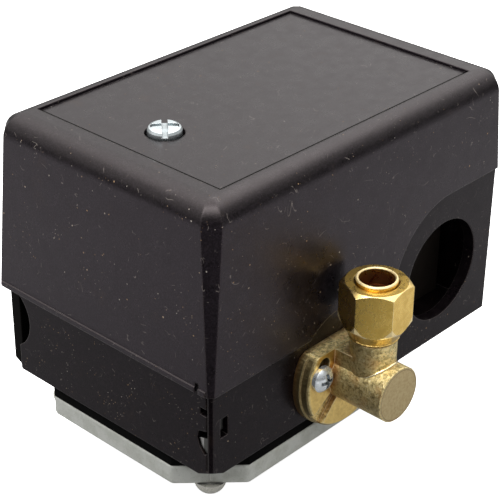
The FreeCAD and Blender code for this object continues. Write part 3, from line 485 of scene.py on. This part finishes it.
COVER_BLACK = (0.0042, 0.0033, 0.0042)
HOUSING_BLACK = (0.0028, 0.0019, 0.0024)
PURPLE_SHEEN = (1.0, 0.82, 0.98)
WARM_SHEEN = (1.0, 0.88, 0.89)
LOOKS = {
    "cover_plastic": black_plastic("cover_plastic", COVER_BLACK, 0.52, 1.0, panel_edge_shadow),
    "housing_plastic": black_plastic("housing_plastic", HOUSING_BLACK, 0.23, 0.6, far_corner_shade),
    "block_plastic": moulded("block_plastic", (0.022, 0.017, 0.014), 0.45),
    "carrier_plastic": moulded("carrier_plastic", (0.62, 0.56, 0.42)),
    "piston_plastic": moulded("piston_plastic", (0.72, 0.70, 0.64)),
    "cast_aluminium": cast_aluminium("cast_aluminium"),
    "rubber": moulded("rubber", (0.004, 0.004, 0.004), 0.8, 0.03),
    "frame_steel": steel("frame_steel", (0.60, 0.60, 0.58)),
    "zinc_steel": zinc("zinc_steel"),
    "spring_steel": steel("spring_steel", (0.40, 0.40, 0.41), 0.28),
    "stem_steel": steel("stem_steel", (0.58, 0.58, 0.58), 0.25),
    "contact_brass": brass("contact_brass", (0.72, 0.42, 0.22), (0.55, 0.30, 0.16), 0.30),
    "terminal_brass": brass("terminal_brass", (0.75, 0.58, 0.28), (0.6, 0.42, 0.18), 0.26),
    "green_paint": moulded("green_paint", (0.03, 0.25, 0.08), 0.35),
    "valve_brass": cast_brass("valve_brass"),
    "nut_brass": brass("nut_brass", (0.96, 0.67, 0.18), (0.80, 0.54, 0.13), 0.28, nut=True),
}
# Pale machined brass for the branch's bright line, paler than the nut's brass as a painted highlight.
MACHINED_HIGHLIGHT = brass("machined_highlight", (1.0, 0.92, 0.60), (0.90, 0.76, 0.42), 0.22)
SOFT_ZINC = zinc("soft_zinc", (0.70, 0.77, 0.79))
DULL_ZINC = zinc("dull_zinc", (0.66, 0.65, 0.58), 0.3)


def paint(obj, look):
    obj.data.materials.clear()
    obj.data.materials.append(look)


for part in frame["record"]["subparts"]:
    paint(NODES[part["node"]], LOOKS[part["material_slot"]])
paint(NODES["flange_screws"], DULL_ZINC)
paint(NODES["cover_screw"], SOFT_ZINC)


# ---- Mesh pieces -----------------------------------------------------------------------------

def piece(name, corners, faces, look):
    """A smooth-shaded mesh piece from its corners and faces."""
    mesh = bpy.data.meshes.new(name)
    mesh.from_pydata(corners, [], faces)
    mesh.polygons.foreach_set("use_smooth", [True] * len(mesh.polygons))
    mesh.materials.append(look)
    obj = bpy.data.objects.new(name, mesh)
    bpy.context.scene.collection.objects.link(obj)
    return obj


def sweep(points, radius_at, sides, closed=False):
    """A tube along a line of points. radius_at gives its (half width, half height) at a share of
    the way along; the width lies across the line and level, and the height stands up."""
    corners = []
    faces = []
    count = len(points)
    for k, point in enumerate(points):
        after = points[(k + 1) % count] if closed or k < count - 1 else point
        before = points[k - 1] if closed or k > 0 else point
        along = (after - before).normalized()
        across = along.cross(Vector((0, 0, 1))).normalized()
        up = across.cross(along)
        width, height = radius_at(k / (count - 1))
        for side in range(sides):
            angle = 2 * math.pi * side / sides
            corners.append(point + across * width * math.cos(angle) + up * height * math.sin(angle))
    rings = count if closed else count - 1
    for k in range(rings):
        start = k * sides
        end = ((k + 1) % count) * sides
        for side in range(sides):
            turn = (side + 1) % sides
            faces.append((start + side, start + turn, end + turn, end + side))
    if not closed:
        faces.append(tuple(reversed(range(sides))))
        faces.append(tuple(range((count - 1) * sides, count * sides)))
    return corners, faces


def around(axis, radius, angle, height):
    """A point at an angle round an upright axis."""
    return Vector((axis.x + radius * math.cos(angle), axis.y + radius * math.sin(angle), height))


def coil_points(axis, radius, turns, height_at, steps):
    """Points on a helix about an upright axis, for a given height at each share of the way."""
    shares = [k / steps for k in range(steps + 1)]
    return [around(axis, radius, 2 * math.pi * turns * share, height_at(share)) for share in shares]


def spring_height(low, high, wire, turns):
    """Height along a compression spring whose first and last turns lie closed."""
    start = low + wire
    stop = high - wire
    shut = 1.0 / turns
    closed_rise = 2.0 * wire

    def height(share):
        if share < shut:
            return start + closed_rise * share / shut
        if share > 1 - shut:
            return stop - closed_rise * (1 - share) / shut
        active = (share - shut) / (1 - 2 * shut)
        return start + closed_rise + (stop - start - 2 * closed_rise) * active
    return height


def lever_spring(name, node, axis, radius, wire, low, high, turns):
    """A coil in place of a CAD spring, from the lever below to the housing's stud above."""
    points = coil_points(axis, radius, turns, spring_height(low, high, wire, turns), int(turns * 36))
    corners, faces = sweep(points, lambda share: (wire, wire), 14)
    made = piece(name, corners, faces, LOOKS["spring_steel"])
    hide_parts(node)
    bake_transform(made)


def range_spring():
    low = low_corner("range_spring_seat").z + 1.0 * MM
    high = low_corner("range_spring_cap").z + 1.6 * MM
    lever_spring("range_spring_coil", "range_spring", RANGE_AXIS, 6.2 * MM, 1.1 * MM, low, high, 6.0)


def differential_spring():
    low = high_corner("lever").z + 0.05 * MM
    high = low_corner("differential_nut").z - 0.02 * MM
    lever_spring("differential_spring_coil", "differential_spring", DIFFERENTIAL_AXIS, 3.3 * MM,
                 0.55 * MM, low, high, 8.0)


def valve_spring():
    """The valve's spring, which the stem squeezes against the end of the barrel."""
    low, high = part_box("valve_spring")
    wire = 0.25 * MM
    turns = 3.0
    heights = spring_height(0.0, high.y - low.y, wire, turns)
    points = coil_points(Vector((0, 0, 0)), 1.9 * MM, turns, heights, 108)
    corners, faces = sweep(points, lambda share: (wire, wire), 10)
    corners = [Vector((VALVE_AXIS.x + c[0], high.y - c[2], VALVE_AXIS.z + c[1])) for c in corners]
    made = piece("valve_spring_coil", corners, faces, LOOKS["spring_steel"])
    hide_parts("valve_spring")
    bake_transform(made)


def thread(name, axis, radius, low, high, pitch, body):
    """A helical ridge that stands proud of a plain shank."""
    turns = (high - low) / pitch
    points = coil_points(axis, radius, turns, lambda share: low + (high - low) * share, int(turns * 28))

    def ridge(share):
        fade = min(1.0, share * turns * 2, (1 - share) * turns * 2)
        return 0.16 * pitch * max(fade, 0.05), 0.30 * pitch

    corners, faces = sweep(points, ridge, 6)
    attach(piece(name, corners, faces, LOOKS["zinc_steel"]), body)


def screw_threads():
    low = high_corner("range_spring_cap").z - 14 * MM
    high = high_corner("range_stud").z - 0.9 * MM
    thread("range_stud_thread", RANGE_AXIS, 3.0 * MM, low, high, 1.0 * MM, "housing")
    low = low_corner("differential_nut").z - 9 * MM
    high = high_corner("differential_stud").z - 0.3 * MM
    thread("differential_stud_thread", DIFFERENTIAL_AXIS, 2.0 * MM, low, high, 0.7 * MM, "housing")
    low = low_corner("cover_screw").z + 0.3 * MM
    high = low_corner("cover_screw").z + 6.5 * MM
    thread("cover_screw_thread", COVER_SCREW_AXIS, 1.85 * MM, low, high, 0.8 * MM, "cover_screw")


def branch_crescent():
    """The bright line where the tube branch meets the valve's barrel: machined brass, made pale as a
    painted highlight.
    """
    start = math.radians(196)
    stop = math.radians(333)
    steps = 60
    reach = BRANCH_R + 0.03 * MM
    points = []
    for k in range(steps + 1):
        angle = start + (stop - start) * k / steps
        height = math.sqrt(BARREL_R ** 2 - (reach * math.cos(angle)) ** 2)
        points.append(around(BRANCH_AXIS, reach, angle, VALVE_AXIS.z + height))

    def bead(share):
        swell = math.sin(math.pi * share) ** 0.45
        size = 0.42 * MM * max(swell, 0.08)
        return size, size

    corners, faces = sweep(points, bead, 10)
    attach(piece("branch_machined_highlight", corners, faces, MACHINED_HIGHLIGHT), "housing")


def nut_burr():
    """The ragged turned lip at the compression nut's lower end."""
    rng = random.Random(SEED)
    steps = 120
    low = low_corner("compression_nut").z
    points = []
    for k in range(steps):
        reach = 4.72 * MM + rng.uniform(-0.06, 0.06) * MM
        height = low + 0.12 * MM + rng.uniform(-0.07, 0.07) * MM
        points.append(around(BRANCH_AXIS, reach, 2 * math.pi * k / steps, height))
    corners, faces = sweep(points, lambda share: (0.16 * MM, 0.16 * MM), 8, closed=True)
    made = piece("compression_nut_burr", corners, faces, LOOKS["nut_brass"])
    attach(made, "compression_nut")


range_spring()
differential_spring()
valve_spring()
screw_threads()
branch_crescent()
nut_burr()


# ---- Room, light and camera ------------------------------------------------------------------

CAMERA_AZIMUTH = math.radians(-47.42)
CAMERA_HEIGHT = math.radians(29.54)
CAMERA_ROLL = math.radians(0.67)
CAMERA_DISTANCE = 0.287
CAMERA_AIM = Vector((-0.00805, -0.01862, 0.05312))
CAMERA_LENS = 113.35
SENSOR = 36.0
TOWARDS_CAMERA = Vector((math.sin(CAMERA_AZIMUTH), -math.cos(CAMERA_AZIMUTH), 0))
ACROSS = Vector((math.cos(CAMERA_AZIMUTH), math.sin(CAMERA_AZIMUTH), 0))
DIM_SIDE = Vector((-0.3, -0.954, 0))
FLOOR_HALF = 3.0
TABLE_GREY = 0.29
TABLE_GLOW = 0.75
FLOOR_WHITE = (0.95, 0.95, 0.95)
FLOOR_GLOW = 0.7


def table_grey(s):
    """How bright the table is in reflections, with painted shadows: a dark patch before the near corner,
    dimmer by the object's foot and beside the valve; it is also dimmer far away."""
    along = s.dot(s.place, TOWARDS_CAMERA)
    aside = s.dot(s.place, ACROSS)
    # Painted shadow: a dark patch before the near corner.
    patch = s.times(s.ramp(along, 0.03, 0.08), s.ramp(aside, 0.009, 0.036, 1.0, 0.0))
    patch = s.times(patch, s.ramp(aside, -0.08, -0.05))
    reach = s.from_line(2, Vector((0, 0, 0)))
    table = s.times(s.ramp(patch, 0, 1, TABLE_GREY, 0.0), s.ramp(reach, 0.2, 0.5, 1.0, 0.35))
    # Painted shadow by the object's foot.
    table = s.times(table, s.ramp(reach, 0.06, 0.14, 0.72, 1.0))
    # Painted shadow beside the valve.
    beside = s.times(s.ramp(s.axes[1], -0.045, -0.02), s.ramp(s.axes[0], 0.035, 0.06))
    return s.times(table, s.ramp(beside, 0, 1, 1.0, 0.55))


def floor():
    """A pale floor. The camera sees it nearly white; reflections see it as a mid grey table."""
    mesh = bpy.data.meshes.new("floor")
    corners = [(x * FLOOR_HALF, y * FLOOR_HALF, 0) for x, y in ((-1, -1), (1, -1), (1, 1), (-1, 1))]
    mesh.from_pydata(corners, [], [(0, 1, 2, 3)])
    obj = bpy.data.objects.new("floor", mesh)
    bpy.context.scene.collection.objects.link(obj)
    s = Shader("floor")
    seen = s.node("ShaderNodeLightPath").outputs["Is Camera Ray"]
    table = table_grey(s)
    grey = s.node("ShaderNodeCombineColor", Red=table, Green=table, Blue=table)
    colour = s.mix(seen, grey.outputs["Color"], FLOOR_WHITE)
    obj.data.materials.append(s.finish(colour, 0.9, 0.0, specular=0.0))
    # The floor glows: white for the camera, and in reflections with the table's grey and its painted
    # shadows.
    glow = s.math("ADD", s.times(seen, FLOOR_GLOW), s.times(table, TABLE_GLOW))
    s.feed(s.bsdf.inputs["Emission Color"], (1.0, 1.0, 1.0))
    s.feed(s.bsdf.inputs["Emission Strength"], glow)


def softbox(name, place, target, size, power):
    data = bpy.data.lights.new(name, "AREA")
    data.shape = "RECTANGLE"
    data.size = size[0]
    data.size_y = size[1]
    data.energy = power
    obj = bpy.data.objects.new(name, data)
    bpy.context.scene.collection.objects.link(obj)
    obj.location = place
    obj.rotation_euler = (Vector(target) - Vector(place)).to_track_quat("-Z", "Y").to_euler()


def world():
    """A white room: bright behind the object and overhead, dim in front and at the horizon, and a
    little brighter to the camera's right."""
    made = bpy.data.worlds.new("studio")
    bpy.context.scene.world = made
    made.use_nodes = True
    g = Graph(made.node_tree)
    direction = g.node("ShaderNodeTexCoord").outputs["Generated"]
    height = g.node("ShaderNodeSeparateXYZ", Vector=direction).outputs["Z"]
    level = g.ramp(g.dot(direction, DIM_SIDE), -0.4, 0.7, 1.26, 0.35)
    level = g.math("ADD", level, g.ramp(height, 0.55, 0.8, 0.0, 1.5))
    level = g.times(level, g.ramp(height, 0.0, 0.42, 0.2, 1.0))
    level = g.times(level, g.ramp(g.dot(direction, ACROSS), -0.15, 0.2, 0.88, 1.18))
    seen = g.node("ShaderNodeLightPath").outputs["Is Camera Ray"]
    strength = g.node("ShaderNodeMix", Factor=seen, A=level, B=1.0)
    back = made.node_tree.nodes["Background"]
    g.feed(back.inputs["Strength"], strength.outputs["Result"])
    g.feed(back.inputs["Color"], (1, 0.985, 0.975))


def camera():
    data = bpy.data.cameras.new("camera")
    data.lens = CAMERA_LENS
    data.sensor_width = SENSOR
    data.clip_start = 0.01
    obj = bpy.data.objects.new("camera", data)
    bpy.context.scene.collection.objects.link(obj)
    flat = TOWARDS_CAMERA * math.cos(CAMERA_HEIGHT)
    back = Vector((flat.x, flat.y, math.sin(CAMERA_HEIGHT)))
    level = back.to_track_quat("Z", "Y").to_matrix()
    turn = (level @ Matrix.Rotation(CAMERA_ROLL, 3, "Z")).to_4x4()
    obj.matrix_world = Matrix.Translation(CAMERA_AIM + back * CAMERA_DISTANCE) @ turn
    bpy.context.scene.camera = obj


floor()
world()
softbox("key", (-0.30, -0.10, 0.60), (0, 0, 0.03), (0.4, 0.4), 2.0)
camera()
bpy.context.scene.view_settings.view_transform = "Standard"
